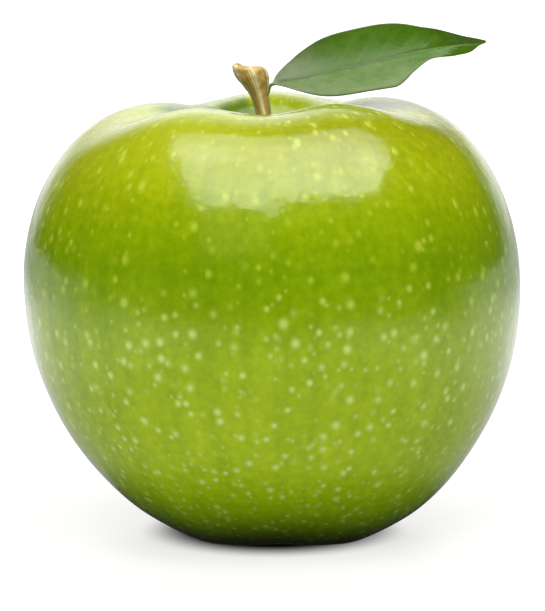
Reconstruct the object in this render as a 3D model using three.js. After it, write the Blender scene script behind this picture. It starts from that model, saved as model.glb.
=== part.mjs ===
// A green apple with its woody stalk, one leaf on the stalk and the dried calyx underneath.
// Millimetres, +Z up, front towards -Y. The origin is on the surface that the apple rests on,
// under the middle of the fruit.

import * as THREE from "three";

// Driving dimensions.
const FRUIT_RADIUS = 40; // at the widest part of the flank
const CREST_HEIGHT = 69; // top of the rim round the stalk cavity
const LEAN = 0.03; // radians that the fruit leans to its left, seen from the front
const FRUIT_SIDES = 60; // facets round the fruit, a multiple of the five lobes
const STEPS_PER_SPAN = 3; // outline steps between two pull points

// Five soft lobes, deepest at the crest and at the foot.
const LOBES = 5;
const CREST_LOBE = 0.75;
const FLANK_LOBE = 0.4;
const FOOT_LOBE = 0.45;
const CREST_PAIR = 0.4; // the crest also stands this much higher at front and back than at the sides
const CORE_RADIUS = 6; // the lobes fade out inside this radius
const END_SHARPNESS = 6; // how quickly the crest and foot lobes fade towards the flank

// Half outline of the fruit, from the calyx basin out and up to the floor of the stalk cavity.
// Each entry pulls a smooth curve: share of FRUIT_RADIUS, share of CREST_HEIGHT.
const OUTLINE = [
  [0, 0.094],
  [0.1, 0.08],
  [0.21, 0.022],
  [0.325, -0.018],
  [0.49, 0.014],
  [0.695, 0.109],
  [0.87, 0.253],
  [0.983, 0.42],
  [1.01, 0.594],
  [0.963, 0.768],
  [0.8, 0.928],
  [0.61, 0.99],
  [0.4, 1],
  [0.275, 0.964],
  [0.162, 0.87],
  [0.075, 0.768],
  [0, 0.754],
];

// The stalk: radius at each height, from the cavity floor up to the flared, broken end.
const STALK_BASE = 53;
const STALK_TOP = 74.7;
const STALK_STATIONS = [
  [0, STALK_BASE],
  [1.2, 53.3],
  [1.35, 55],
  [1.15, 60],
  [1.25, 66.5],
  [1.5, 69.8],
  [1.85, 71.2],
  [2.4, 72.6],
  [2.5, 73.4],
  [2.1, 74.2],
  [0, STALK_TOP],
];
const STALK_SIDES = 20;
const STALK_FOOT_X = -0.5;
const STALK_REACH = 3.5; // how far the top hangs over to the left
const STALK_BEND = 2.8; // power of the height: straight below, bending near the top

// The leaf: a folded blade on a short petiole that starts beside the stalk.
const LEAF_MIDRIB = [
  [0, -0.4, 70.7],
  [0.5, -0.6, 72],
  [4.3, -0.9, 72.9],
  [9.1, -1.1, 74],
  [17, -1, 75.7],
  [28.2, 0.2, 78.1],
  [34, 1.2, 78.7],
];
const LEAF_STEPS = 36;
const LEAF_HALF_STEPS = 4; // facets from the midrib to each margin
const LEAF_THICKNESS = 0.6;
const LEAF_ROLL = THREE.MathUtils.degToRad(55); // the blade's slope towards the front
const LEAF_FOLD = THREE.MathUtils.degToRad(15); // each half is lifted this much about the midrib
const MARGIN_SHARE = 0.6; // thickness at the margin, as a share of LEAF_THICKNESS

// Half widths of the blade: share of the midrib's length, width in millimetres.
const BACK_HALF = [
  [0, 0.4],
  [0.05, 0.45],
  [0.1, 2.5],
  [0.24, 5.1],
  [0.44, 6],
  [0.6, 5.6],
  [0.76, 3.4],
  [0.88, 1.4],
  [1, 0.1],
];
const FRONT_HALF = [
  [0, 0.4],
  [0.05, 0.45],
  [0.1, 1.8],
  [0.24, 5.2],
  [0.4, 6.4],
  [0.54, 6.7],
  [0.65, 3.9],
  [0.74, 1.9],
  [0.92, 1.3],
  [1, 0.1],
];

// The calyx: a dry tuft of five sepals that hangs in the basin, clear of the resting surface.
const CALYX_TOP = 5.7;
const CALYX_TIP = 2.2;
const CALYX_RADIUS = 2.2;
const CALYX_SIDES = 30;
const SEPAL_SHARE = 0.25; // how far each sepal stands out from the tuft

/** Points on the uniform cubic B-spline pulled by the outline, smooth across the axis at both ends. */
function smoothOutline(pulls, steps) {
  const acrossAxis = ([share, height]) => [-share, height];
  const all = [acrossAxis(pulls[1]), ...pulls, acrossAxis(pulls.at(-2))];
  const points = [];
  const stepAt = (first, t) => {
    const weights = [
      (1 - t) ** 3,
      3 * t ** 3 - 6 * t ** 2 + 4,
      -3 * t ** 3 + 3 * t ** 2 + 3 * t + 1,
      t ** 3,
    ];
    const sum = (axis) =>
      weights.reduce((total, weight, k) => total + (weight / 6) * all[first + k][axis], 0);
    return new THREE.Vector2(FRUIT_RADIUS * Math.max(sum(0), 0), CREST_HEIGHT * sum(1));
  };
  for (let first = 0; first < all.length - 3; first += 1) {
    for (let step = 0; step < steps; step += 1) points.push(stepAt(first, step / steps));
  }
  points.push(stepAt(all.length - 4, 1));
  return points;
}

/** A lathe about Z from (radius, height) points listed from the bottom up. */
function turned(points, sides) {
  return new THREE.LatheGeometry(points, sides).rotateX(Math.PI / 2);
}

/** Moves every vertex of the geometry by the function given. */
function reshape(geometry, move) {
  const position = geometry.getAttribute("position");
  const point = new THREE.Vector3();
  for (let i = 0; i < position.count; i += 1) {
    point.fromBufferAttribute(position, i);
    move(point);
    position.setXYZ(i, point.x, point.y, point.z);
  }
  geometry.computeVertexNormals();
  return geometry;
}

/** Lobes, the lean, and the small flat that the fruit rests on. */
function growFruit(point) {
  const turn = Math.atan2(point.y, point.x);
  const radius = Math.hypot(point.x, point.y);
  const height = THREE.MathUtils.clamp(point.z / CREST_HEIGHT, 0, 1);
  const lobe = Math.cos(LOBES * (turn - Math.PI / 2));
  const away = radius ** 2 / (radius ** 2 + CORE_RADIUS ** 2);
  const atCrest = away * height ** END_SHARPNESS;
  const atFoot = away * (1 - height) ** END_SHARPNESS;
  const swell = 1 + (away * FLANK_LOBE * lobe * 4 * height * (1 - height)) / FRUIT_RADIUS;
  const x = point.x * swell;
  const z =
    point.z +
    atCrest * (CREST_LOBE * lobe - CREST_PAIR * Math.cos(2 * turn)) -
    atFoot * FOOT_LOBE * lobe;
  point.x = x + LEAN * (CREST_HEIGHT / 2 - z);
  point.y *= swell;
  point.z = Math.max(z + LEAN * x * height, 0);
}

function fruitGeometry() {
  return reshape(turned(smoothOutline(OUTLINE, STEPS_PER_SPAN), FRUIT_SIDES), growFruit);
}

/** The stalk leans over to the left as it rises. */
function bendStalk(point) {
  const rise = (point.z - STALK_BASE) / (STALK_TOP - STALK_BASE);
  point.x += STALK_FOOT_X - STALK_REACH * Math.max(rise, 0) ** STALK_BEND;
}

function stalkGeometry() {
  const points = STALK_STATIONS.map(([radius, height]) => new THREE.Vector2(radius, height));
  return reshape(turned(points, STALK_SIDES), bendStalk);
}

/** Half width of the blade at a share of the midrib's length. */
function halfWidth(table, share) {
  const next = Math.max(table.findIndex(([at]) => at >= share), 1);
  const [fromShare, fromWidth] = table[next - 1];
  const [toShare, toWidth] = table[next];
  return THREE.MathUtils.mapLinear(share, fromShare, toShare, fromWidth, toWidth);
}

/** A slab of unit size, reshaped to a blade: X runs along the midrib, Y across it and Z through it. */
function leafGeometry() {
  const midrib = new THREE.CatmullRomCurve3(LEAF_MIDRIB.map((p) => new THREE.Vector3(...p)));
  const up = new THREE.Vector3(0, 0, 1);
  const slab = new THREE.BoxGeometry(1, 1, 1, LEAF_STEPS, 2 * LEAF_HALF_STEPS, 1);
  return reshape(slab, (point) => {
    const share = point.x + 0.5;
    const across = 2 * point.y;
    const towardsBack = across > 0;
    const width = halfWidth(towardsBack ? BACK_HALF : FRONT_HALF, share) * Math.abs(across);
    const angle = towardsBack ? LEAF_ROLL + LEAF_FOLD : LEAF_ROLL - LEAF_FOLD;
    const tangent = midrib.getTangentAt(share);
    const back = new THREE.Vector3().crossVectors(up, tangent).normalize();
    const top = new THREE.Vector3().crossVectors(tangent, back);
    const outward = back
      .clone()
      .multiplyScalar(Math.cos(angle))
      .addScaledVector(top, Math.sin(angle))
      .multiplyScalar(towardsBack ? 1 : -1);
    const faceNormal = top
      .multiplyScalar(Math.cos(LEAF_ROLL))
      .addScaledVector(back, -Math.sin(LEAF_ROLL));
    const thickness =
      LEAF_THICKNESS * THREE.MathUtils.lerp(1, MARGIN_SHARE, Math.abs(across)) * point.z;
    point
      .copy(midrib.getPointAt(share))
      .addScaledVector(outward, width)
      .addScaledVector(faceNormal, thickness);
  });
}

/** Each of the five sepals bulges out of the tuft. */
function spreadSepals(point) {
  const swell = 1 + SEPAL_SHARE * Math.cos(LOBES * Math.atan2(point.y, point.x));
  point.x = point.x * swell + LEAN * (CREST_HEIGHT / 2 - point.z);
  point.y *= swell;
}

function calyxGeometry() {
  const drop = CALYX_TOP - CALYX_TIP;
  const points = [
    new THREE.Vector2(0, CALYX_TIP),
    new THREE.Vector2(0.6 * CALYX_RADIUS, CALYX_TIP + 0.15 * drop),
    new THREE.Vector2(0.95 * CALYX_RADIUS, CALYX_TIP + 0.45 * drop),
    new THREE.Vector2(0.9 * CALYX_RADIUS, CALYX_TIP + 0.75 * drop),
    new THREE.Vector2(0.5 * CALYX_RADIUS, CALYX_TIP + 0.95 * drop),
    new THREE.Vector2(0, CALYX_TOP),
  ];
  return reshape(turned(points, CALYX_SIDES), spreadSepals);
}

function named(name, geometry, colour, roughness) {
  const material = new THREE.MeshStandardMaterial({ color: colour, roughness, metalness: 0 });
  const mesh = new THREE.Mesh(geometry, material);
  mesh.name = name;
  return mesh;
}

const apple = new THREE.Group();
apple.add(
  named("fruit", fruitGeometry(), 0x93a818, 0.3),
  named("stalk", stalkGeometry(), 0x8b6f2c, 0.7),
  named("leaf", leafGeometry(), 0x577c21, 0.45),
  named("calyx", calyxGeometry(), 0x5a452b, 0.9),
);

export default apple;
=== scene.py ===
"""A green apple with its stalk, one leaf and the dried calyx underneath.

Metres, +Z up, front towards -Y. The fruit's driving sizes are those of the CAD part.
"""

import math

import bpy
import numpy as np
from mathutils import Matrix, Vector, noise


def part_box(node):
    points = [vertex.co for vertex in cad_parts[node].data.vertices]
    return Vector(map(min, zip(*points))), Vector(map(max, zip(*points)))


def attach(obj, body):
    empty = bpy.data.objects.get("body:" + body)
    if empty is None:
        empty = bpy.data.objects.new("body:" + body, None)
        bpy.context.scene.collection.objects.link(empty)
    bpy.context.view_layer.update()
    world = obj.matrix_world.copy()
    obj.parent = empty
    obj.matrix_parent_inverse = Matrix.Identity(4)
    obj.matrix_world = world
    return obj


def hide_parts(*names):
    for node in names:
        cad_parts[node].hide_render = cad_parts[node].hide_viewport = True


MM = 0.001

# The fruit, as the CAD part has it.
FRUIT_RADIUS = 40 * MM
CREST_HEIGHT = 69 * MM
LEAN = 0.03
LOBES = 5
CREST_LOBE = 0.75 * MM
FLANK_LOBE = 0.4 * MM
FOOT_LOBE = 0.45 * MM
CREST_PAIR = 0.4 * MM
CORE_RADIUS = 6 * MM
END_SHARPNESS = 6
OUTLINE = [
    (0, 0.094),
    (0.1, 0.08),
    (0.21, 0.022),
    (0.325, -0.018),
    (0.49, 0.014),
    (0.695, 0.109),
    (0.87, 0.253),
    (0.983, 0.42),
    (1.01, 0.594),
    (0.963, 0.768),
    (0.8, 0.928),
    (0.61, 0.99),
    (0.4, 1),
    (0.275, 0.964),
    (0.162, 0.87),
    (0.075, 0.768),
    (0, 0.754),
]
FRUIT_SIDES = 280
STEPS_PER_SPAN = 14
FOOT_CLEAR = 4 * MM  # the skin's unevenness fades in over this height, so that the foot stays flat

# Gentle unevenness of the skin: size of the lumps, and how far they stand out.
LUMPS = [(17 * MM, 0.2 * MM), (8 * MM, 0.08 * MM)]

# The lenticels' own space: how far it is stretched along the fruit, at shares of the way up.
# Where it is stretched more, the dots are shorter and closer together.
DOT_STRETCH_AT = [0, 0.18, 0.3, 0.42, 0.6, 0.9, 1]
DOT_STRETCH = [1.7, 1.35, 1.1, 0.92, 0.85, 0.7, 0.6]
# Where the fruit narrows towards its two ends, the dots crowd together. At 1 they would keep
# their size and spacing. At 0 as many would go round each ring, so they would narrow with it.
DOT_CROWDING_BELOW = 0.2
DOT_CROWDING_ABOVE = 0.15
DOT_CELL = 2.5 * MM  # each cell of this size holds one dot
SMALL_DOT_CELL = 1.9 * MM

# The stalk: its radius in millimetres at each share of its length, from root to flared end.
STALK_STATIONS = [
    (0, 1.75),
    (0.04, 1.5),
    (0.12, 1.25),
    (0.35, 1.12),
    (0.6, 1.17),
    (0.74, 1.32),
    (0.83, 1.66),
    (0.9, 2.15),
    (0.95, 2.4),
    (0.985, 2.32),
    (1, 1.85),
]
STALK_FOOT_X = -0.5 * MM
STALK_REACH = 3.3 * MM
STALK_BEND = 2.8
STALK_ROOT = 0.9 * MM  # the stalk is rooted this far below the CAD stalk's foot
STALK_SIDES = 72
STALK_RINGS = 150
# Lengthwise ridges: how many go round, their height as a share of the radius, turn and twist.
STALK_RIDGES = [(3, 0.05, 0.4, 1.1), (5, 0.035, 2.1, -0.8), (11, 0.012, 0.9, 2.0)]
RIDGE_FULL_HEIGHT = 0.09  # where the ridges add up to this, the pale ridge tint is strongest: partly the stalk's own paler ridges, partly a painted highlight
KNOB_FROM = 0.78  # shares of the stalk's length between which it swells to its broken end
KNOB_TO = 0.95
KNOB_POINT = 0.2  # the knob is drawn out by this share of its radius on the left
KNOB_RISE = 0.5 * MM  # and its end rises this much there
BARK_DEPTH = 0.07 * MM
KNOB_EXTRA_DEPTH = 0.1 * MM
# The end face: rings at these shares of the rim's radius, sunk this deep, with a rough break.
END_RINGS = [(0.8, 0.02 * MM), (0.55, 0.18 * MM), (0.28, 0.26 * MM)]
BREAK_DEPTH = 0.18 * MM

# The leaf's midrib, from the stalk's side to the tip, and the blade's half widths at shares of
# its length. Both are in millimetres.
LEAF_MIDRIB = [
    (-1.6, -0.5, 69.4),
    (-0.85, -0.5, 70.5),
    (-0.2, -0.6, 71.9),
    (4.3, -0.9, 72.9),
    (9.1, -1.1, 74),
    (17, -1, 75.7),
    (28.2, 0.2, 78.1),
    (34, 1.2, 78.7),
]
PETIOLE_SHARE = 0.073  # of the midrib's whole length
PETIOLE_RADIUS = 0.27 * MM
PETIOLE_TURN = 0.98 * math.pi / 2  # each half goes just short of a quarter round, so no points coincide
LEAF_ROLL = math.radians(55)
LEAF_FOLD = math.radians(15)
BASE_FLATTER = math.radians(9)  # the back half slopes this much less near the leaf's base
TIP_ROLL = math.radians(42)  # the tip turns this much more towards the front
BACK_CURL = 0.2  # the back half leaves the midrib flatter and ends steeper by this slope
FRONT_SLOPE = 0.05  # the front half is this much flatter throughout
FRONT_DROOP = 0.3  # and its margin droops
BACK_HALF = [
    (0, 0),
    (0.08, 2.9),
    (0.225, 5.3),
    (0.43, 6.1),
    (0.59, 5.6),
    (0.755, 3.5),
    (0.88, 1.5),
    (0.96, 0.6),
    (1, 0.12),
]
FRONT_HALF = [
    (0, 0),
    (0.08, 1.9),
    (0.225, 5.2),
    (0.39, 6.4),
    (0.53, 6.6),
    (0.645, 3.9),
    (0.735, 2.1),
    (0.86, 1.7),
    (0.93, 1.35),
    (0.97, 0.5),
    (1, 0.12),
]
LEAF_STEPS = 260
LEAF_HALF_STEPS = 26
BLADE_THICKNESS = 0.32 * MM
SIDE_VEINS = 9
VEIN_SLANT = 0.16  # how far along the blade a side vein has run when it nears the margin
VEIN_STAGGER = 0.012  # veins leave the two sides of the midrib this far from each other's place
VEIN_WIDTH = 0.09  # as a share of the space between two veins
BULGE_EDGE = 0.2  # the blade rises between two veins over this share of that space
VEIN_DEPTH = 0.012 * MM
GROOVE_DEPTH = 0.1 * MM  # of the midrib, on the upper face
GROOVE_WIDTH = 0.28 * MM
RIB_DEPTH = 0.55 * MM  # of the midrib, on the underside near the base
RIB_WIDTH = 0.38 * MM
GROOVE_SHADE_WIDTH = 0.19 * MM  # the painted shade line in the groove
WAVE_SIZE = 6 * MM
WAVE_DEPTH = 0.35 * MM  # at the margin

# The calyx in its basin.
SEPALS = 5
SEPAL_LENGTH = 3.4 * MM
SEPAL_WIDTH = 2.3 * MM
SEPAL_THICKNESS = 0.3 * MM
STAMENS = 11
STAMEN_WIDTH = 0.24 * MM
STAMEN_THICKNESS = 0.16 * MM
CALYX_ROOT = 0.5 * MM  # the calyx is rooted this far up in the flesh

# The camera: a long lens from the front, a little above the fruit.
CAMERA_PLACE = (-0.0001, -0.6, 0.108)
CAMERA_AIM = (-0.0001, 0, 0.0363)
CAMERA_LENS = 221.4

# Two light panels overhead, seen from above, that meet in the middle.
PANEL_HEIGHT = 0.66
LEFT_PANEL = [(0.04, 0.2), (-0.29, 0.2), (-0.38, -0.06), (-0.42, -0.32), (-0.34, -0.57), (0.04, -0.68)]
RIGHT_PANEL = [(0.04, -0.56), (0.23, -0.5), (0.54, -0.34), (0.5, 0), (0.34, 0.22), (0.04, 0.22)]
LEFT_RADIANCE = 4.7
RIGHT_RADIANCE = 5.4

# A weak light from the front that the gloss doesn't mirror.
FILL_PLACE = (-0.3, -1, 0.6)
FILL_SIZE = 0.5
FILL_RADIANCE = 5.8

# The floor is three cards, and each lies a little lower than the one before.
FLOOR_EDGES = (-2.5, 2.5, -0.5, 3.0)
FLOOR_DROP = 0.05 * MM

SEED = 7


# ---------------------------------------------------------------- shared helpers


def smooth_step(low, high, value):
    """0 up to low, 1 from high on, and smooth between."""
    share = np.clip((value - low) / (high - low), 0, 1)
    return share * share * (3 - 2 * share)


def smooth_table(table, shares):
    """Values of a (share, value) table at the shares asked, on a smooth curve that doesn't overshoot."""
    at = np.array([row[0] for row in table], float)
    value = np.array([row[1] for row in table], float)
    slope = np.diff(value) / np.diff(at)
    tangent = np.concatenate([slope[:1], (slope[1:] + slope[:-1]) / 2, slope[-1:]])
    turns = np.concatenate([[False], slope[1:] * slope[:-1] <= 0, [False]])
    tangent[turns] = 0
    steepest = 3 * np.minimum(
        np.abs(np.concatenate([slope[:1], slope])), np.abs(np.concatenate([slope, slope[-1:]]))
    )
    tangent = np.clip(tangent, -steepest, steepest)
    shares = np.asarray(shares, float)
    span = np.clip(np.searchsorted(at, shares) - 1, 0, len(slope) - 1)
    width = at[span + 1] - at[span]
    t = (shares - at[span]) / width
    return (
        value[span] * (2 * t**3 - 3 * t**2 + 1)
        + tangent[span] * width * (t**3 - 2 * t**2 + t)
        + value[span + 1] * (3 * t**2 - 2 * t**3)
        + tangent[span + 1] * width * (t**3 - t**2)
    )


def noise_over(grid, size, offset):
    """Smooth noise from -1 to 1 at each point of a grid, with features of about that size."""
    shift = Vector((offset, 1.7 * offset, 2.3 * offset))
    values = [noise.noise(Vector(point) / size + shift) for point in grid.reshape(-1, 3)]
    return np.array(values).reshape(grid.shape[:-1])


def make_piece(name, points, faces, material, slot, *nodes):
    """A smooth mesh piece that rides with the apple and stands for those CAD nodes."""
    mesh = bpy.data.meshes.new(name)
    mesh.from_pydata([tuple(p) for p in points], [], faces)
    mesh.polygons.foreach_set("use_smooth", [True] * len(mesh.polygons))
    mesh.materials.append(material)
    mesh.update()
    piece = bpy.data.objects.new(name, mesh)
    bpy.context.scene.collection.objects.link(piece)
    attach(piece, "root")
    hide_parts(*nodes)
    return piece


def store(piece, name, kind, values):
    """Keeps a value at each point of the piece, for its material to read."""
    attribute = piece.data.attributes.new(name, kind, "POINT")
    key = "vector" if kind == "FLOAT_VECTOR" else "value"
    attribute.data.foreach_set(key, np.asarray(values, np.float32).ravel())


def closed_faces(rings, sides):
    """Faces of a body whose points are closed rings from the bottom up, then the middle of its
    bottom and the middle of its top."""
    pairs = [(side, (side + 1) % sides) for side in range(sides)]
    bottom = rings * sides
    last = bottom - sides
    faces = [
        (low + here, low + after, low + sides + after, low + sides + here)
        for low in range(0, last, sides)
        for here, after in pairs
    ]
    faces += [(after, here, bottom) for here, after in pairs]
    faces += [(last + here, last + after, bottom + 1) for here, after in pairs]
    return faces


# ---------------------------------------------------------------- materials


class Nodes:
    """A node tree that is built one node at a time."""

    def __init__(self, tree):
        self.tree = tree

    def node(self, kind, **settings):
        made = self.tree.nodes.new(kind)
        for key, value in settings.items():
            setattr(made, key, value)
        return made

    def feed(self, socket, value):
        """Links a node's output to the socket, or sets the socket's own value."""
        if isinstance(value, bpy.types.NodeSocket):
            self.tree.links.new(value, socket)
        else:
            socket.default_value = value

    def feed_new(self, kind, inputs, **settings):
        made = self.node(kind, **settings)
        for key, value in inputs.items():
            self.feed(made.inputs[key], value)
        return made

    def split(self, vector):
        return self.feed_new("ShaderNodeSeparateXYZ", {"Vector": vector}).outputs

    def math(self, operation, first, second):
        return self.feed_new("ShaderNodeMath", {0: first, 1: second}, operation=operation).outputs[0]

    def between(self, value, low, high, out_low=0.0, out_high=1.0):
        """Maps low..high smoothly to out_low..out_high."""
        inputs = {
            "Value": value,
            "From Min": low,
            "From Max": high,
            "To Min": out_low,
            "To Max": out_high,
        }
        made = self.feed_new("ShaderNodeMapRange", inputs, interpolation_type="SMOOTHSTEP")
        return made.outputs["Result"]


class Paint(Nodes):
    """One procedural material."""

    def __init__(self, name):
        self.material = bpy.data.materials.new(name)
        self.material.use_nodes = True
        super().__init__(self.material.node_tree)
        self.shader = self.tree.nodes["Principled BSDF"]

    def shade(self, **values):
        """Sets the shader's sockets, named with _ for each space."""
        for key, value in values.items():
            self.feed(self.shader.inputs[key.replace("_", " ")], value)

    def shine(self, strength):
        """Makes the surface glow white, with no colour or gloss of its own."""
        self.shade(
            Base_Color=(0, 0, 0, 1),
            Specular_IOR_Level=0,
            Emission_Color=(1, 1, 1, 1),
            Emission_Strength=strength,
        )

    def attribute(self, name, output="Fac"):
        return self.node("ShaderNodeAttribute", attribute_name=name).outputs[output]

    def object_place(self):
        return self.node("ShaderNodeTexCoord").outputs["Object"]

    def stretch(self, vector, scale):
        return self.feed_new("ShaderNodeMapping", {"Vector": vector, "Scale": scale}).outputs[0]

    def length(self, vector):
        return self.feed_new("ShaderNodeVectorMath", {0: vector}, operation="LENGTH").outputs["Value"]

    def noise(self, vector, size, detail=2.0, roughness=0.5):
        inputs = {"Vector": vector, "Scale": 1 / size, "Detail": detail, "Roughness": roughness}
        return self.feed_new("ShaderNodeTexNoise", inputs).outputs["Fac"]

    def cells(self, vector, size):
        """Distance from the nearest cell's middle, and that cell's random colour."""
        inputs = {"Vector": vector, "Scale": 1 / size}
        made = self.feed_new("ShaderNodeTexVoronoi", inputs, feature="F1")
        return made.outputs["Distance"], made.outputs["Color"]

    def blend(self, share, first, second, way="MIX"):
        inputs = {0: share, 6: colour(first), 7: colour(second)}
        return self.feed_new("ShaderNodeMix", inputs, data_type="RGBA", blend_type=way).outputs[2]

    def ramp(self, value, stops):
        """Colours along a value: each stop is its place and its colour."""
        made = self.feed_new("ShaderNodeValToRGB", {0: value})
        elements = made.color_ramp.elements
        while len(elements) < len(stops):
            elements.new(0.5)
        for element, (place, tint) in zip(elements, stops):
            element.position = place
            element.color = colour(tint)
        return made.outputs[0]

    def bump(self, height, distance, normal=None):
        inputs = {"Height": height, "Distance": distance}
        if normal is not None:
            inputs["Normal"] = normal
        return self.feed_new("ShaderNodeBump", inputs).outputs[0]


def colour(value):
    """A colour as four numbers. What a node gives stays as it is."""
    if isinstance(value, bpy.types.NodeSocket):
        return value
    return (*value, 1.0)


def dots(paint, place, size, core, halo, keep):
    """Lenticels in cells of that size: a bright core and a faint halo, each 0 to 1.
    keep is the share of the dots that show."""
    distance, chance = paint.cells(place, size)
    chances = paint.split(chance)
    shown = paint.math("LESS_THAN", chances[0], keep)
    dot_size = paint.math("ADD", paint.math("MULTIPLY", chances[1], 0.5), 0.7)
    near = paint.math("DIVIDE", distance, dot_size)
    core_mask = paint.between(near, core, 0.4 * core)
    halo_mask = paint.between(near, halo, 0.3 * halo)
    return paint.math("MULTIPLY", core_mask, shown), paint.math("MULTIPLY", halo_mask, shown)


def skin_ground_and_painted_light(paint, place, around, along):
    """Fresh green round the middle, yellower towards the crest, with fine mottling, streaks and painted
    light and shade.
    """
    # Along the height this also paints light and shade: darker at the foot (painted shade), lighter over
    # the lower half (painted light from the floor), a darker band round the widest part (painted shade),
    # a lighter band below the crest (painted highlight), and darker deep in the stalk cavity.
    ground = paint.ramp(
        along,
        [
            (0.0, (0.34, 0.32, 0.08)),
            (0.1, (0.19, 0.285, 0.01)),
            (0.17, (0.195, 0.335, 0.003)),
            (0.21, (0.22, 0.39, 0.002)),
            (0.25, (0.265, 0.425, 0.002)),
            (0.3, (0.32, 0.46, 0.002)),
            (0.4, (0.29, 0.41, 0.002)),
            (0.45, (0.27, 0.395, 0.002)),
            (0.51, (0.185, 0.3, 0.001)),
            (0.55, (0.155, 0.27, 0.001)),
            (0.6, (0.2, 0.295, 0.001)),
            (0.66, (0.262, 0.325, 0.002)),
            (0.72, (0.24, 0.275, 0.003)),
            (0.8, (0.275, 0.315, 0.006)),
            (0.87, (0.23, 0.31, 0.003)),
            (0.94, (0.13, 0.2, 0.004)),
            (1.0, (0.12, 0.14, 0.02)),
        ],
    )
    cloud = paint.noise(place, 14 * MM, 3.0, 0.55)
    streak = paint.noise(paint.stretch(around, (1, 1, 0.22)), 0.09, 4.0, 0.6)
    grain = paint.noise(paint.object_place(), 1.5 * MM, 3.0, 0.6)
    for share, factor in (
        (paint.between(cloud, 0.4, 0.75), (1.12, 1.08, 2.0)),
        (paint.between(streak, 0.42, 0.68), (0.86, 0.9, 0.8)),
        (paint.between(grain, 0.42, 0.75), (1.2, 1.14, 1.8)),
        (paint.between(grain, 0.5, 0.25), (0.88, 0.92, 0.7)),
    ):
        ground = paint.blend(share, ground, factor, "MULTIPLY")
    # A painted highlight: the left shoulder below the crest is lightened towards pale green, standing in
    # for a whitish reflection.
    left_side = paint.between(paint.split(around)[0], 0.35, -0.45)
    shoulder_painted_highlight = paint.math("MULTIPLY", left_side, paint.between(along, 0.62, 0.72))
    return paint.blend(paint.math("MULTIPLY", shoulder_painted_highlight, 0.3), ground, (0.46, 0.52, 0.02))


def add_lenticels(paint, ground, place, along):
    """Pale dots, fewer and softer above the middle. Returns the new colour and the large cores."""
    upper = paint.between(along, 0.42, 0.62)
    keep = paint.between(upper, 0, 1, 0.95, 0.5)
    core, halo = dots(paint, place, DOT_CELL, 0.25, 0.42, keep)
    small_core, small_halo = dots(paint, place, SMALL_DOT_CELL, 0.22, 0.4, 0.5)
    # The dots' pale colour dips round the widest part, following the painted shade band there.
    pale = paint.ramp(
        along,
        [
            (0.22, (0.42, 0.58, 0.08)),
            (0.3, (0.54, 0.66, 0.17)),
            (0.46, (0.5, 0.62, 0.15)),
            (0.54, (0.33, 0.44, 0.02)),
            (0.68, (0.42, 0.49, 0.04)),
            (0.8, (0.5, 0.54, 0.1)),
        ],
    )
    for mask, strength in (
        (halo, paint.between(upper, 0, 1, 0.42, 0.6)),
        (small_halo, 0.22),
        (small_core, 0.45),
        (core, paint.between(upper, 0, 1, 0.85, 0.55)),
    ):
        ground = paint.blend(paint.math("MULTIPLY", mask, strength), ground, pale)
    return ground, core


def add_hollows(paint, ground, place, around, along):
    """The stalk cavity gets painted shade, a deep green that reaches higher on one side, and there is
    a little russet on its floor and in the calyx basin."""
    # Painted shade inside the stalk cavity, below a ragged brink that sits higher on one side.
    brink = paint.between(paint.split(around)[0], -0.4, 0.55, 0.785, 0.93)
    ragged = paint.between(paint.noise(place, 6 * MM, 3.0, 0.6), 0.3, 0.7, -0.015, 0.015)
    below_brink = paint.math("ADD", paint.math("SUBTRACT", along, brink), ragged)
    cavity_painted_shade = paint.between(below_brink, 0.0, 0.06, 0.0, 0.85)
    ground = paint.blend(cavity_painted_shade, ground, (0.04, 0.105, 0.002))
    cavity_floor = paint.between(along, 0.93, 0.99)
    basin = paint.between(along, 0.075, 0.02)
    patchy = paint.between(paint.noise(place, 2.2 * MM, 5.0, 0.7), 0.42, 0.62)
    russet = paint.math("MULTIPLY", patchy, paint.math("MAXIMUM", cavity_floor, basin))
    return paint.blend(paint.math("MULTIPLY", russet, 0.8), ground, (0.27, 0.19, 0.07))


def skin_material():
    paint = Paint("apple_skin")
    place = paint.attribute("dots_at", "Vector")
    around = paint.attribute("round_up", "Vector")
    along = paint.split(around)[2]
    ground = skin_ground_and_painted_light(paint, place, around, along)
    ground, core = add_lenticels(paint, ground, place, along)
    ground = add_hollows(paint, ground, place, around, along)

    waxy = paint.noise(place, 0.55 * MM, 3.0, 0.6)
    normal = None
    for height, depth in (
        (paint.noise(paint.object_place(), 4.5 * MM, 2.0), 0.1 * MM),
        (paint.noise(paint.object_place(), 2.2 * MM, 2.0), 0.042 * MM),
        (waxy, 0.012 * MM),
        (core, 0.012 * MM),
    ):
        normal = paint.bump(height, depth, normal)
    paint.shade(
        Base_Color=ground,
        Roughness=paint.between(waxy, 0.2, 0.8, 0.1, 0.18),
        IOR=1.5,
        Normal=normal,
    )
    return paint.material


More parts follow.
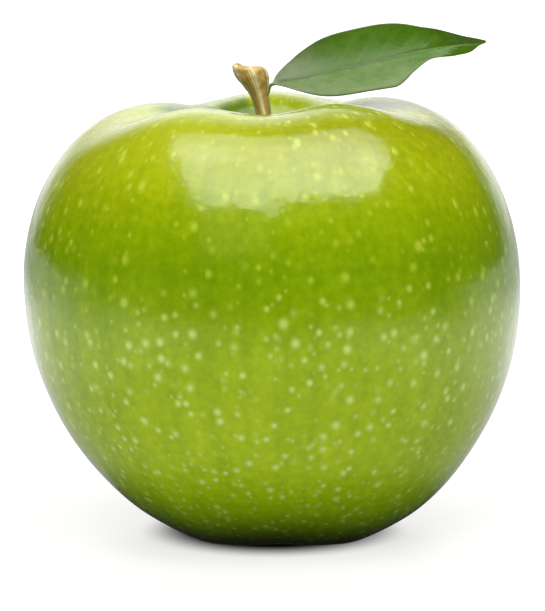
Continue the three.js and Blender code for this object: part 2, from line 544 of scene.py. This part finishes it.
def stalk_material():
    paint = Paint("stalk_wood")
    around = paint.attribute("round_up", "Vector")
    along = paint.split(around)[2]
    fibre = paint.noise(paint.stretch(around, (1, 1, 0.12)), 0.16, 5.0, 0.65)
    patch = paint.noise(around, 0.35, 4.0, 0.6)
    tint = paint.ramp(
        fibre,
        [
            (0.36, (0.1, 0.05, 0.006)),
            (0.46, (0.42, 0.26, 0.05)),
            (0.56, (0.72, 0.52, 0.18)),
            (0.72, (0.82, 0.66, 0.36)),
        ],
    )
    # Painted light and shade: darker at the sides (painted shade) and palest in front (a painted
    # highlight), with a ragged edge between.
    ragged = paint.math("ADD", paint.split(around)[0], paint.between(fibre, 0.3, 0.7, -0.2, 0.2))
    stalk_painted_light_and_shade = paint.ramp(
        paint.between(ragged, -1, 1),
        [
            (0.05, (0.2, 0.11, 0.004)),
            (0.33, (0.34, 0.2, 0.012)),
            (0.43, (0.9, 0.66, 0.18)),
            (0.54, (1.0, 0.96, 0.78)),
            (0.67, (1.0, 0.93, 0.6)),
            (0.78, (0.5, 0.3, 0.05)),
            (0.95, (0.3, 0.17, 0.02)),
        ],
    )
    tint = paint.blend(0.62, tint, stalk_painted_light_and_shade)
    tint = paint.blend(paint.between(patch, 0.5, 0.75, 0.0, 0.35), tint, (0.45, 0.34, 0.06))
    tint = paint.blend(paint.between(along, 0.4, 0.1, 0.0, 0.6), tint, (1.0, 0.74, 0.16))
    tint = paint.blend(paint.between(along, 0.93, 1.0, 0.0, 0.45), tint, (0.5, 0.36, 0.12))
    # Paler on the raised ridges: partly the stalk's own colour, partly a painted highlight on their
    # crests.
    ridge = paint.attribute("ridge")
    tint = paint.blend(paint.between(ridge, 0.3, 1.0, 0.0, 0.7), tint, (0.86, 0.72, 0.42))
    height = paint.math("ADD", fibre, paint.math("MULTIPLY", patch, 0.5))
    paint.shade(
        Base_Color=tint,
        Roughness=paint.between(fibre, 0.3, 0.7, 0.62, 0.45),
        Normal=paint.bump(height, 0.12 * MM),
    )
    return paint.material


def leaf_upper_face(paint, mottle, fine, across, along, vein):
    """Deep green, with faint veins, a painted grey sheen near the base, a painted pale sheen on the
    front half and a painted shade line in the midrib's groove.
    """
    top = paint.blend(
        paint.between(mottle, 0.3, 0.7), (0.045, 0.115, 0.002), (0.058, 0.138, 0.003)
    )
    top = paint.blend(paint.between(fine, 0.35, 0.7, 0.0, 0.2), top, (0.09, 0.19, 0.012))
    faint = paint.math("MULTIPLY", vein, paint.between(mottle, 0.35, 0.65, 0.03, 0.14))
    top = paint.blend(faint, top, (0.13, 0.22, 0.05))
    # A painted sheen near the base, grey-green and mottled.
    near_base = paint.between(along, 0.34, 0.06)
    base_painted_sheen = paint.math("MULTIPLY", near_base, paint.between(mottle, 0.2, 0.6, 0.5, 1.0))
    top = paint.blend(base_painted_sheen, top, (0.125, 0.165, 0.07))
    # A painted sheen on the front half of the blade, mottled.
    front_half = paint.between(across, 0.18, -0.05)
    front_half = paint.math("MULTIPLY", front_half, paint.between(along, 0.75, 0.55))
    sheen = paint.noise(paint.stretch(paint.object_place(), (1, 1, 2)), 3.5 * MM, 4.0, 0.65)
    sheen = paint.math("MULTIPLY", paint.between(sheen, 0.36, 0.62, 0.1, 0.75), front_half)
    top = paint.blend(sheen, top, (0.125, 0.185, 0.055))
    # A painted shade line along the midrib's groove.
    rib = paint.math("MULTIPLY", paint.attribute("rib"), 0.9)
    return paint.blend(rib, top, (0.025, 0.065, 0.003))


def leaf_material():
    paint = Paint("leaf_blade")
    place = paint.object_place()
    across = paint.attribute("across")
    along = paint.attribute("along")
    vein = paint.attribute("vein")
    mottle = paint.noise(place, 1.6 * MM, 4.0, 0.6)
    fine = paint.noise(place, 0.35 * MM, 3.0, 0.6)
    top = leaf_upper_face(paint, mottle, fine, across, along, vein)
    under = paint.blend(
        paint.between(mottle, 0.3, 0.7), (0.19, 0.31, 0.09), (0.24, 0.37, 0.12)
    )
    under = paint.blend(paint.math("MULTIPLY", vein, 0.6), under, (0.34, 0.44, 0.18))
    tint = paint.blend(paint.attribute("upper"), under, top)
    margin = paint.between(paint.math("ABSOLUTE", across, 0), 0.9, 1.0, 0.0, 0.6)
    tint = paint.blend(margin, tint, (0.05, 0.08, 0.008))
    tint = paint.blend(paint.attribute("stem"), tint, (0.16, 0.22, 0.05))
    height = paint.math("ADD", fine, paint.math("MULTIPLY", mottle, 0.6))
    paint.shade(
        Base_Color=tint,
        Roughness=paint.between(mottle, 0.3, 0.7, 0.25, 0.35),
        IOR=1.35,
        Normal=paint.bump(height, 0.025 * MM),
    )
    return paint.material


def calyx_material():
    paint = Paint("dry_calyx")
    place = paint.object_place()
    patch = paint.noise(place, 0.9 * MM, 5.0, 0.65)
    fine = paint.noise(place, 0.25 * MM, 3.0, 0.6)
    tint = paint.ramp(
        patch,
        [
            (0.3, (0.05, 0.03, 0.014)),
            (0.5, (0.16, 0.105, 0.045)),
            (0.72, (0.34, 0.25, 0.12)),
        ],
    )
    tint = paint.blend(paint.between(fine, 0.4, 0.7, 0.0, 0.35), tint, (0.36, 0.33, 0.2))
    paint.shade(Base_Color=tint, Roughness=0.85, Normal=paint.bump(patch, 0.15 * MM))
    return paint.material


# ---------------------------------------------------------------- fruit


def smooth_outline(pulls, steps):
    """Radius and height along the uniform cubic B-spline that the outline's entries pull."""
    pulls = np.array(pulls, float)
    mirror = np.array([-1, 1])
    pulls = np.vstack([pulls[1] * mirror, pulls, pulls[-2] * mirror])
    t = (np.arange(steps) / steps)[:, None]
    weights = np.hstack(
        [(1 - t) ** 3, 3 * t**3 - 6 * t**2 + 4, -3 * t**3 + 3 * t**2 + 3 * t + 1, t**3]
    )
    spans = [weights @ pulls[first : first + 4] / 6 for first in range(len(pulls) - 3)]
    last = np.array([[0, 1, 4, 1]]) @ pulls[-4:] / 6
    points = np.vstack([*spans, last])
    points[0, 0] = points[-1, 0] = 0
    return points * [FRUIT_RADIUS, CREST_HEIGHT]


def grow_fruit(x, y, z):
    """Lobes, the lean, and the small flat that the fruit rests on, as in the CAD part."""
    turn = np.arctan2(y, x)
    radius = np.hypot(x, y)
    height = np.clip(z / CREST_HEIGHT, 0, 1)
    lobe = np.cos(LOBES * (turn - math.pi / 2))
    away = radius**2 / (radius**2 + CORE_RADIUS**2)
    at_crest = away * height**END_SHARPNESS
    at_foot = away * (1 - height) ** END_SHARPNESS
    swell = 1 + away * FLANK_LOBE * lobe * 4 * height * (1 - height) / FRUIT_RADIUS
    across = x * swell
    lift = at_crest * (CREST_LOBE * lobe - CREST_PAIR * np.cos(2 * turn))
    up = z + lift - at_foot * FOOT_LOBE * lobe
    leaning = across + LEAN * (CREST_HEIGHT / 2 - up)
    return np.stack([leaning, y * swell, np.maximum(up + LEAN * across * height, 0)], axis=-1)


def dot_space(outline):
    """Ring radius and height of each outline point in the lenticels' own space."""
    radius = outline[:, 0]
    step = np.hypot(*np.diff(outline, axis=0).T)
    travel = np.concatenate([[0], np.cumsum(step)])
    share = travel / travel[-1]
    widest = radius.argmax()
    power = np.where(np.arange(len(radius)) < widest, DOT_CROWDING_BELOW, DOT_CROWDING_ABOVE)
    ring = radius[widest] * (radius / radius[widest]) ** power
    stretch = np.interp((share[1:] + share[:-1]) / 2, DOT_STRETCH_AT, DOT_STRETCH)
    rise = np.sqrt(np.maximum((stretch * step) ** 2 - np.diff(ring) ** 2, 0))
    return share, ring, np.concatenate([[0], np.cumsum(rise)])


def grid_normals(grid):
    """Unit normals of a grid of rings, pointing out of the fruit."""
    around = np.roll(grid, -1, axis=1) - np.roll(grid, 1, axis=1)
    upward = np.gradient(grid, axis=0)
    normals = np.cross(around, upward)
    return normals / np.maximum(np.linalg.norm(normals, axis=-1, keepdims=True), 1e-12)


def make_fruit():
    outline = smooth_outline(OUTLINE, STEPS_PER_SPAN)
    share, ring, level = dot_space(outline)
    turns = 2 * math.pi * np.arange(FRUIT_SIDES) / FRUIT_SIDES
    cosines = np.cos(turns)[None, :]
    sines = np.sin(turns)[None, :]
    radius = outline[1:-1, 0][:, None]
    height = np.repeat(outline[1:-1, 1][:, None], FRUIT_SIDES, axis=1)
    grid = grow_fruit(radius * cosines, radius * sines, height)

    normals = grid_normals(grid)
    lumps = sum(depth * noise_over(grid, size, SEED) for size, depth in LUMPS)
    off_foot = smooth_step(0, FOOT_CLEAR, grid[..., 2])
    grid = grid + normals * (lumps * off_foot)[..., None]

    poles = grow_fruit(np.zeros(2), np.zeros(2), outline[[0, -1], 1])
    points = np.vstack([grid.reshape(-1, 3), poles])
    rings = len(grid)
    faces = closed_faces(rings, FRUIT_SIDES)
    fruit = make_piece("apple_fruit", points, faces, skin_material(), "skin", "fruit")

    def for_points(at_ring, at_poles):
        inner = np.broadcast_to(at_ring, (rings, FRUIT_SIDES)).reshape(-1)
        return np.concatenate([inner, at_poles])

    dots_at = np.stack(
        [
            for_points(ring[1:-1, None] * cosines, [0, 0]),
            for_points(ring[1:-1, None] * sines, [0, 0]),
            for_points(level[1:-1, None], level[[0, -1]]),
        ],
        axis=-1,
    )
    round_up = np.stack(
        [
            for_points(cosines, [0, 0]),
            for_points(sines, [0, 0]),
            for_points(share[1:-1, None], [0, 1]),
        ],
        axis=-1,
    )
    store(fruit, "dots_at", "FLOAT_VECTOR", dots_at)
    store(fruit, "round_up", "FLOAT_VECTOR", round_up)


# ---------------------------------------------------------------- stalk


def stalk_wall(foot, length, share, turn):
    """The stalk's side, as a grid of rings, and how far its ridges stand out at each point."""
    radius = smooth_table(STALK_STATIONS, share[:, 0])[:, None] * MM
    ridged = sum(
        depth * np.cos(count * turn + start + twist * share)
        for count, depth, start, twist in STALK_RIDGES
    )
    knob = smooth_step(KNOB_FROM, KNOB_TO, share)
    leftward = np.maximum(-np.cos(turn), 0) ** 3
    radius = radius * (1 + ridged * (0.6 + 0.9 * knob)) * (1 + KNOB_POINT * knob * leftward)
    rise = (share * length - STALK_ROOT) / (length - STALK_ROOT)
    bend = STALK_FOOT_X - STALK_REACH * np.maximum(rise, 0) ** STALK_BEND
    slant = KNOB_RISE * leftward * smooth_step(0.9, 1, share)
    grid = np.stack(
        [
            bend + radius * np.cos(turn),
            radius * np.sin(turn),
            foot + share * length + slant,
        ],
        axis=-1,
    )
    rough = noise_over(grid, 1.1 * MM, SEED) + 0.5 * noise_over(grid, 0.5 * MM, 2 * SEED)
    depth = BARK_DEPTH + KNOB_EXTRA_DEPTH * knob
    return grid + grid_normals(grid) * (rough * depth)[..., None], ridged


def broken_end(rim):
    """Rings that close the stalk's end inside its rim, sunk in the middle and rough."""
    centre = rim.mean(axis=0)
    rings = np.array([centre + (rim - centre) * level for level, _ in END_RINGS])
    rings[..., 2] -= np.array([sink for _, sink in END_RINGS])[:, None]
    rings[..., 2] += BREAK_DEPTH * noise_over(rings, 0.6 * MM, 3 * SEED)
    return rings


def make_stalk():
    low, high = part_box("stalk")
    foot = low.z - STALK_ROOT
    share = np.linspace(0, 1, STALK_RINGS)[:, None]
    turn = 2 * math.pi * np.arange(STALK_SIDES)[None, :] / STALK_SIDES
    wall, ridged = stalk_wall(foot, high.z - foot, share, turn)
    rows = np.concatenate([wall, broken_end(wall[-1])])
    points = np.vstack([rows.reshape(-1, 3), rows[0].mean(axis=0), rows[-1].mean(axis=0)])
    faces = closed_faces(len(rows), STALK_SIDES)
    stalk = make_piece("apple_stalk", points, faces, stalk_material(), "stalk", "stalk")

    ups = np.concatenate([share, np.ones((len(END_RINGS), 1))])
    columns = np.broadcast_arrays(np.cos(turn), np.sin(turn), ups)
    round_up = np.vstack([np.stack(columns, axis=-1).reshape(-1, 3), [[0, 0, 0], [0, 0, 1]]])
    store(stalk, "round_up", "FLOAT_VECTOR", round_up)
    ridge = np.clip(ridged / RIDGE_FULL_HEIGHT, 0, 1).reshape(-1)
    on_end = np.zeros(len(END_RINGS) * STALK_SIDES + 2)
    store(stalk, "ridge", "FLOAT", np.concatenate([ridge, on_end]))


# ---------------------------------------------------------------- leaf


def curve_through(points, count):
    """Points and unit directions, evenly spaced along a smooth curve through the points."""
    points = np.array(points, float)
    chords = np.linalg.norm(np.diff(points, axis=0), axis=1)
    knots = np.concatenate([[0], np.cumsum(np.sqrt(chords))])
    fine = np.linspace(0, knots[-1], 2000)
    columns = [smooth_table(list(zip(knots, points[:, axis])), fine) for axis in range(3)]
    line = np.stack(columns, axis=-1)
    travel = np.concatenate([[0], np.cumsum(np.linalg.norm(np.diff(line, axis=0), axis=1))])
    at = np.linspace(0, travel[-1], count)
    even = np.stack([np.interp(at, travel, line[:, axis]) for axis in range(3)], axis=-1)
    # The directions are averaged over a few points, so that the blade has no kink.
    window = 15
    kernel = np.hanning(window) / np.hanning(window).sum()
    padded = np.pad(np.gradient(even, axis=0), ((window // 2, window // 2), (0, 0)), mode="edge")
    direction = np.stack([np.convolve(padded[:, a], kernel, "valid") for a in range(3)], axis=-1)
    return even, direction / np.linalg.norm(direction, axis=1, keepdims=True)


def half_blade(midrib, back, top, u, v, side):
    """The middle of the blade's thickness, behind the midrib (side 1) or in front of it (side -1)."""
    table = BACK_HALF if side > 0 else FRONT_HALF
    width = smooth_table(table, u[:, 0])[:, None] * MM
    fold = LEAF_ROLL + side * LEAF_FOLD + TIP_ROLL * smooth_step(0.7, 0.92, u)
    if side > 0:
        fold = fold - BASE_FLATTER * (1 - smooth_step(0.05, 0.4, u))
        curl = BACK_CURL * (v**2 - v)
    else:
        curl = FRONT_SLOPE * v - FRONT_DROOP * np.maximum(v - 0.8, 0) ** 1.5
    outward = side * (back * np.cos(fold) + top * np.sin(fold))
    normal = -back * np.sin(fold) + top * np.cos(fold)
    return (
        midrib[:, None, :]
        + outward[:, None, :] * (width * v)[..., None]
        + normal[:, None, :] * (width * curl)[..., None]
    )


def blade_pattern(u, v, across, from_rib):
    """How strongly each point of the blade is a side vein, the midrib's groove, the bulge between
    two veins, or the painted shade line in the groove, and whether it is on the blade at all. Each 0 to
    1."""
    # Side veins leave the midrib and bend towards the tip.
    run = u - VEIN_SLANT * v**1.2 + VEIN_STAGGER * np.sign(across)
    phase = run * (SIDE_VEINS + 1)
    off_vein = np.abs(phase - np.round(phase))
    on_blade = smooth_step(0.0, 0.06, u) * (1 - smooth_step(0.93, 1, u))
    vein = np.exp(-((off_vein / VEIN_WIDTH) ** 2)) * (1 - smooth_step(0.75, 0.98, v)) * on_blade
    groove = np.exp(-((from_rib / GROOVE_WIDTH) ** 2)) * on_blade
    bulge = (1 - np.exp(-((off_vein / BULGE_EDGE) ** 2))) * on_blade * v * (1 - v) * 4
    # The painted shade line along the midrib's groove, over the first part of the blade.
    line = np.exp(-((from_rib / GROOVE_SHADE_WIDTH) ** 2)) * on_blade * (1 - smooth_step(0.55, 0.8, u))
    return vein, groove, bulge, line, on_blade


def make_leaf():
    midrib, direction = curve_through(LEAF_MIDRIB, LEAF_STEPS + 1)
    midrib = midrib * MM
    back = np.cross([0, 0, 1], direction)
    back /= np.linalg.norm(back, axis=1, keepdims=True)
    top = np.cross(direction, back)

    # share runs along the whole midrib, u along the blade and v from the midrib to the margin.
    share = np.linspace(0, 1, LEAF_STEPS + 1)[:, None]
    u = np.clip((share - PETIOLE_SHARE) / (1 - PETIOLE_SHARE), 0, 1)
    half = np.linspace(0, 1, LEAF_HALF_STEPS + 1) ** 0.85  # a little closer together at the margin
    across = np.concatenate([-half[:0:-1], half])[None, :]
    v = np.abs(across)
    width = (smooth_table(BACK_HALF, u[:, 0]) + smooth_table(FRONT_HALF, u[:, 0]))[:, None] / 2 * MM
    vein, groove, bulge, line, on_blade = blade_pattern(u, v, across, v * width)

    halves = [half_blade(midrib, back, top, u, v, side) for side in (1, -1)]
    middle = np.where((across > 0)[..., None], *halves)
    wave = noise_over(middle, WAVE_SIZE, SEED) * WAVE_DEPTH * v**2 * on_blade
    relief = VEIN_DEPTH * (bulge - vein) - GROOVE_DEPTH * groove + wave
    rib = RIB_DEPTH * (1 - 0.75 * u) * np.exp(-((v * width / RIB_WIDTH) ** 2))
    thick = BLADE_THICKNESS * (1 - 0.55 * v**3)
    below = relief - thick - rib + 0.08 * MM * groove  # the underside hardly follows the groove
    normal = (top * math.cos(LEAF_ROLL) - back * math.sin(LEAF_ROLL))[:, None, :]
    blade_upper = middle + normal * relief[..., None]
    blade_lower = middle + normal * below[..., None]

    # The stem is a thin tube, a little thicker where it leaves the stalk, that turns into the blade.
    stem = (1 - smooth_step(0.0, 0.03, u))[..., None]
    radius = PETIOLE_RADIUS * (1 + 0.5 * (1 - smooth_step(0, 0.03, share)))
    turn = across * PETIOLE_TURN
    side_way = (back * math.cos(LEAF_ROLL) + top * math.sin(LEAF_ROLL))[:, None, :]
    tube_middle = midrib[:, None, :] + side_way * (radius * np.sin(turn))[..., None]
    tube_depth = normal * (radius * np.cos(turn))[..., None]
    upper = blade_upper * (1 - stem) + (tube_middle + tube_depth) * stem
    lower = blade_lower * (1 - stem) + (tube_middle - tube_depth) * stem

    # Each section is one closed ring: the top from front to back, then the underside back again.
    rings = np.concatenate([upper, lower[:, ::-1]], axis=1)
    points = np.vstack([rings.reshape(-1, 3), rings[0].mean(axis=0), rings[-1].mean(axis=0)])
    faces = [face[::-1] for face in closed_faces(*rings.shape[:2])]
    leaf = make_piece("apple_leaf", points, faces, leaf_material(), "leaf", "leaf")

    def keep(name, on_upper, on_lower):
        """Stores values for both faces of the blade, and 0 at its two ends."""
        both = [np.broadcast_to(values, vein.shape) for values in (on_upper, on_lower)]
        flat = np.concatenate([both[0], both[1][:, ::-1]], axis=1).reshape(-1)
        store(leaf, name, "FLOAT", np.concatenate([flat, [0, 0]]))

    keep("across", across, across)
    keep("vein", vein, np.maximum(vein, groove))
    # The painted shade line in the groove, on the upper face only.
    keep("rib", line, 0)
    keep("upper", 1, 0)
    keep("stem", stem[..., 0], stem[..., 0])
    keep("along", u, u)


# ---------------------------------------------------------------- calyx


def ribbon(root, way, up, length, width, thickness, curl, steps=14, columns=5):
    """A thin pointed strip that starts at root, runs along way and curls towards up.
    Returns its points and faces."""
    side = np.cross(way, up)
    points = []
    spot = np.array(root, float)
    for step in range(steps + 1):
        share = step / steps
        bend = curl * share
        heading = way * math.cos(bend) + up * math.sin(bend)
        lift = up * math.cos(bend) - way * math.sin(bend)
        half = width / 2 * (1 - share**2.2) * (0.75 + 0.6 * math.sin(math.pi * min(share * 1.6, 1)))
        half = max(half, 0.06 * MM)
        for sign in (1, -1):
            for column in range(columns):
                v = (2 * column / (columns - 1) - 1) * sign
                trough = 0.35 * half * v * v
                body = thickness / 2 * sign * (1 - 0.5 * abs(v))
                points.append(spot + side * (v * half) + lift * (body + trough))
        spot = spot + heading * (length / steps)
    sides = 2 * columns
    start = np.mean(points[:sides], axis=0)
    end = np.mean(points[-sides:], axis=0)
    return np.vstack([points, start, end]), closed_faces(steps + 1, sides)


def make_calyx():
    low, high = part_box("calyx")
    centre = (low + high) / 2
    root_centre = np.array([centre.x, centre.y, high.z + CALYX_ROOT])
    random = np.random.default_rng(SEED)
    down = np.array([0.0, 0.0, -1.0])
    points = []
    faces = []

    def add(ribbon_points, ribbon_faces):
        offset = sum(len(p) for p in points)
        points.append(ribbon_points)
        faces.extend(tuple(offset + i for i in face) for face in ribbon_faces)

    for sepal in range(SEPALS):
        turn = 2 * math.pi * (sepal + 0.12 * random.uniform(-1, 1)) / SEPALS
        outward = np.array([math.cos(turn), math.sin(turn), 0.0])
        root = root_centre + outward * 0.9 * MM
        way = outward * 0.45 + down * 0.9
        way /= np.linalg.norm(way)
        up = -outward * 0.9 + down * 0.45
        up /= np.linalg.norm(up)
        length = SEPAL_LENGTH * random.uniform(0.85, 1.1)
        curl = random.uniform(0.6, 1.5)
        add(*ribbon(root, way, up, length, SEPAL_WIDTH, SEPAL_THICKNESS, curl))
    for stamen in range(STAMENS):
        turn = 2 * math.pi * (stamen + 0.4 * random.uniform(-1, 1)) / STAMENS
        outward = np.array([math.cos(turn), math.sin(turn), 0.0])
        root = root_centre + outward * random.uniform(0.2, 0.8) * MM
        way = down + outward * random.uniform(-0.1, 0.25)
        way /= np.linalg.norm(way)
        up = np.cross(way, np.cross(outward, way))
        up /= np.linalg.norm(up)
        length = random.uniform(1.6, 2.6) * MM
        curl = random.uniform(-0.6, 0.6)
        add(*ribbon(root, way, up, length, STAMEN_WIDTH, STAMEN_THICKNESS, curl, 8, 3))
    make_piece("apple_calyx", np.vstack(points), faces, calyx_material(), "dry_calyx", "calyx")


# ---------------------------------------------------------------- studio


def softbox(name, outline, radiance):
    """A flat light panel overhead, facing down, with that outline seen from above."""
    mesh = bpy.data.meshes.new(name)
    mesh.from_pydata([(x, y, PANEL_HEIGHT) for x, y in outline], [], [tuple(range(len(outline)))])
    mesh.materials.append(glow_material(name, radiance))
    panel = bpy.data.objects.new(name, mesh)
    panel.visible_camera = False
    bpy.context.scene.collection.objects.link(panel)


def glow_material(name, radiance):
    """A slightly uneven glow that weakens towards the back of the panel."""
    paint = Paint(name)
    place = paint.object_place()
    uneven = paint.noise(place, 0.16, 3.0, 0.6)
    strength = paint.between(uneven, 0.3, 0.7, 0.8 * radiance, 1.2 * radiance)
    fade = paint.between(paint.split(place)[1], 0.2, -0.12, 0.4, 1.0)
    paint.shine(paint.math("MULTIPLY", strength, fade))
    return paint.material


def card(name, shade_card, drop, camera=False, diffuse=False, glossy=False):
    """A level sheet at the height of the floor, seen only by those kinds of ray."""
    left, right, front, back = FLOOR_EDGES
    mesh = bpy.data.meshes.new(name)
    corners = [(left, front, -drop), (right, front, -drop), (right, back, -drop), (left, back, -drop)]
    mesh.from_pydata(corners, [], [(0, 1, 2, 3)])
    paint = Paint(name)
    shade_card(paint, paint.object_place())
    mesh.materials.append(paint.material)
    sheet = bpy.data.objects.new(name, mesh)
    sheet.visible_camera = camera
    sheet.visible_diffuse = diffuse
    sheet.visible_glossy = glossy
    bpy.context.scene.collection.objects.link(sheet)


def shade_floor(paint, place):
    """Pale, with a soft glow of its own that fades out near the apple, and a painted contact shadow: it
    stays dark right under the apple.
    """
    away = paint.length(paint.stretch(place, (1.12, 0.93, 1)))
    grain = paint.noise(place, 30 * MM, 2.0)
    tint = paint.blend(paint.between(grain, 0.3, 0.7), (0.2, 0.2, 0.195), (0.22, 0.22, 0.215))
    # A painted contact shadow: the floor's colour turns nearly black right under the apple.
    tint = paint.blend(paint.between(away, 10 * MM, 24 * MM), (0.02, 0.024, 0.012), tint)
    # The glow is kept off near the apple, which widens the painted shadow.
    near_glow = paint.between(away, 14.5 * MM, 25 * MM, 0.0, 0.74)
    far_glow = paint.between(away, 60 * MM, 300 * MM, 0.0, 0.35)
    paint.shade(
        Base_Color=tint,
        Roughness=0.5,
        Specular_IOR_Level=0.2,
        Emission_Color=(1, 1, 0.985, 1),
        Emission_Strength=paint.math("ADD", near_glow, far_glow),
    )


def shade_bounce(paint, place):
    """The soft light that the floor throws up at the apple."""
    paint.shine(paint.between(paint.length(place), 22 * MM, 54 * MM, 0.0, 1.15))


def shade_mirrored(paint, place):
    """The table as the glossy skin mirrors it: it ends softly in front and is bright behind."""
    away = paint.length(place)
    across, back, _ = paint.split(place)
    table = paint.between(away, 29 * MM, 42 * MM)
    for share in (
        paint.between(paint.math("ABSOLUTE", across, 0), 0.03, 0.12, 0.28, 0.85),
        paint.between(away, 0.5, 0.14, 0.1, 1.0),
        paint.between(back, -0.29, -0.12),
    ):
        table = paint.math("MULTIPLY", table, share)
    paint.shine(paint.math("ADD", table, paint.between(back, -0.04, 0.2, 0.0, 0.6)))


def make_floor():
    """Three cards in the same place: what the camera sees, what lights and what the gloss mirrors."""
    card("studio_floor", shade_floor, FLOOR_DROP, camera=True)
    card("floor_bounce", shade_bounce, 2 * FLOOR_DROP, diffuse=True)
    card("floor_mirrored", shade_mirrored, 3 * FLOOR_DROP, glossy=True)


def make_world():
    """White to the camera. Round the apple it is bright behind and dark in front."""
    world = bpy.data.worlds.new("studio")
    bpy.context.scene.world = world
    world.use_nodes = True
    nodes = Nodes(world.node_tree)
    x, y, z = nodes.split(nodes.node("ShaderNodeTexCoord").outputs["Generated"])

    # A low backdrop lights the rims, and a window behind lights the crest.
    backdrop = nodes.math("MULTIPLY", nodes.between(y, 0.76, 0.92), nodes.between(z, 0.32, 0.08))
    window = nodes.between(z, 0.14, 0.34, 0.0, 1.5)
    for share in (
        nodes.between(z, 0.92, 0.4),
        nodes.between(x, 0.3, 0.1),
        nodes.between(x, -0.5, -0.08),
        nodes.between(y, 0.3, 0.6),
    ):
        window = nodes.math("MULTIPLY", window, share)
    haze = nodes.between(y, 0.86, 0.98, 0.015, 0.27)
    glow = nodes.math("ADD", nodes.math("ADD", backdrop, window), haze)

    light = world.node_tree.nodes["Background"]
    nodes.feed(light.inputs["Strength"], glow)
    nodes.feed(light.inputs["Color"], (1, 1, 1, 1))
    white = nodes.feed_new("ShaderNodeBackground", {"Color": (1, 1, 1, 1)})
    seen = nodes.node("ShaderNodeLightPath").outputs["Is Camera Ray"]
    mix = nodes.feed_new("ShaderNodeMixShader", {0: seen, 1: light.outputs[0], 2: white.outputs[0]})
    nodes.feed(world.node_tree.nodes["World Output"].inputs["Surface"], mix.outputs[0])


def facing_aim(place):
    """The turn of a camera or lamp at that place that looks at the camera's aim."""
    return (Vector(CAMERA_AIM) - Vector(place)).to_track_quat("-Z", "Y").to_euler()


def make_fill():
    lamp = bpy.data.lights.new("front_fill", "AREA")
    lamp.shape = "SQUARE"
    lamp.size = FILL_SIZE
    lamp.energy = FILL_RADIANCE * math.pi * FILL_SIZE**2
    fill = bpy.data.objects.new("front_fill", lamp)
    fill.location = FILL_PLACE
    fill.rotation_euler = facing_aim(FILL_PLACE)
    fill.visible_glossy = False
    fill.visible_camera = False
    bpy.context.scene.collection.objects.link(fill)


def make_camera():
    lens = bpy.data.cameras.new("camera")
    lens.lens = CAMERA_LENS
    camera = bpy.data.objects.new("camera", lens)
    camera.location = CAMERA_PLACE
    camera.rotation_euler = facing_aim(CAMERA_PLACE)
    bpy.context.scene.collection.objects.link(camera)
    bpy.context.scene.camera = camera


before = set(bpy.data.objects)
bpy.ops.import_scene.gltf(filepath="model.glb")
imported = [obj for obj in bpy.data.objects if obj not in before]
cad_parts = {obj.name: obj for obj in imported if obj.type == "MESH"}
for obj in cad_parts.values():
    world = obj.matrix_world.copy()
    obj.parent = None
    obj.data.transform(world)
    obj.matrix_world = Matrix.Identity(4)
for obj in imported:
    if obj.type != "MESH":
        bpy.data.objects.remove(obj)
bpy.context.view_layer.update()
bpy.context.scene.view_settings.view_transform = "Standard"
make_camera()
make_fruit()
make_stalk()
make_leaf()
make_calyx()
make_floor()
make_world()
softbox("softbox_left", LEFT_PANEL, LEFT_RADIANCE)
softbox("softbox_right", RIGHT_PANEL, RIGHT_RADIANCE)
make_fill()
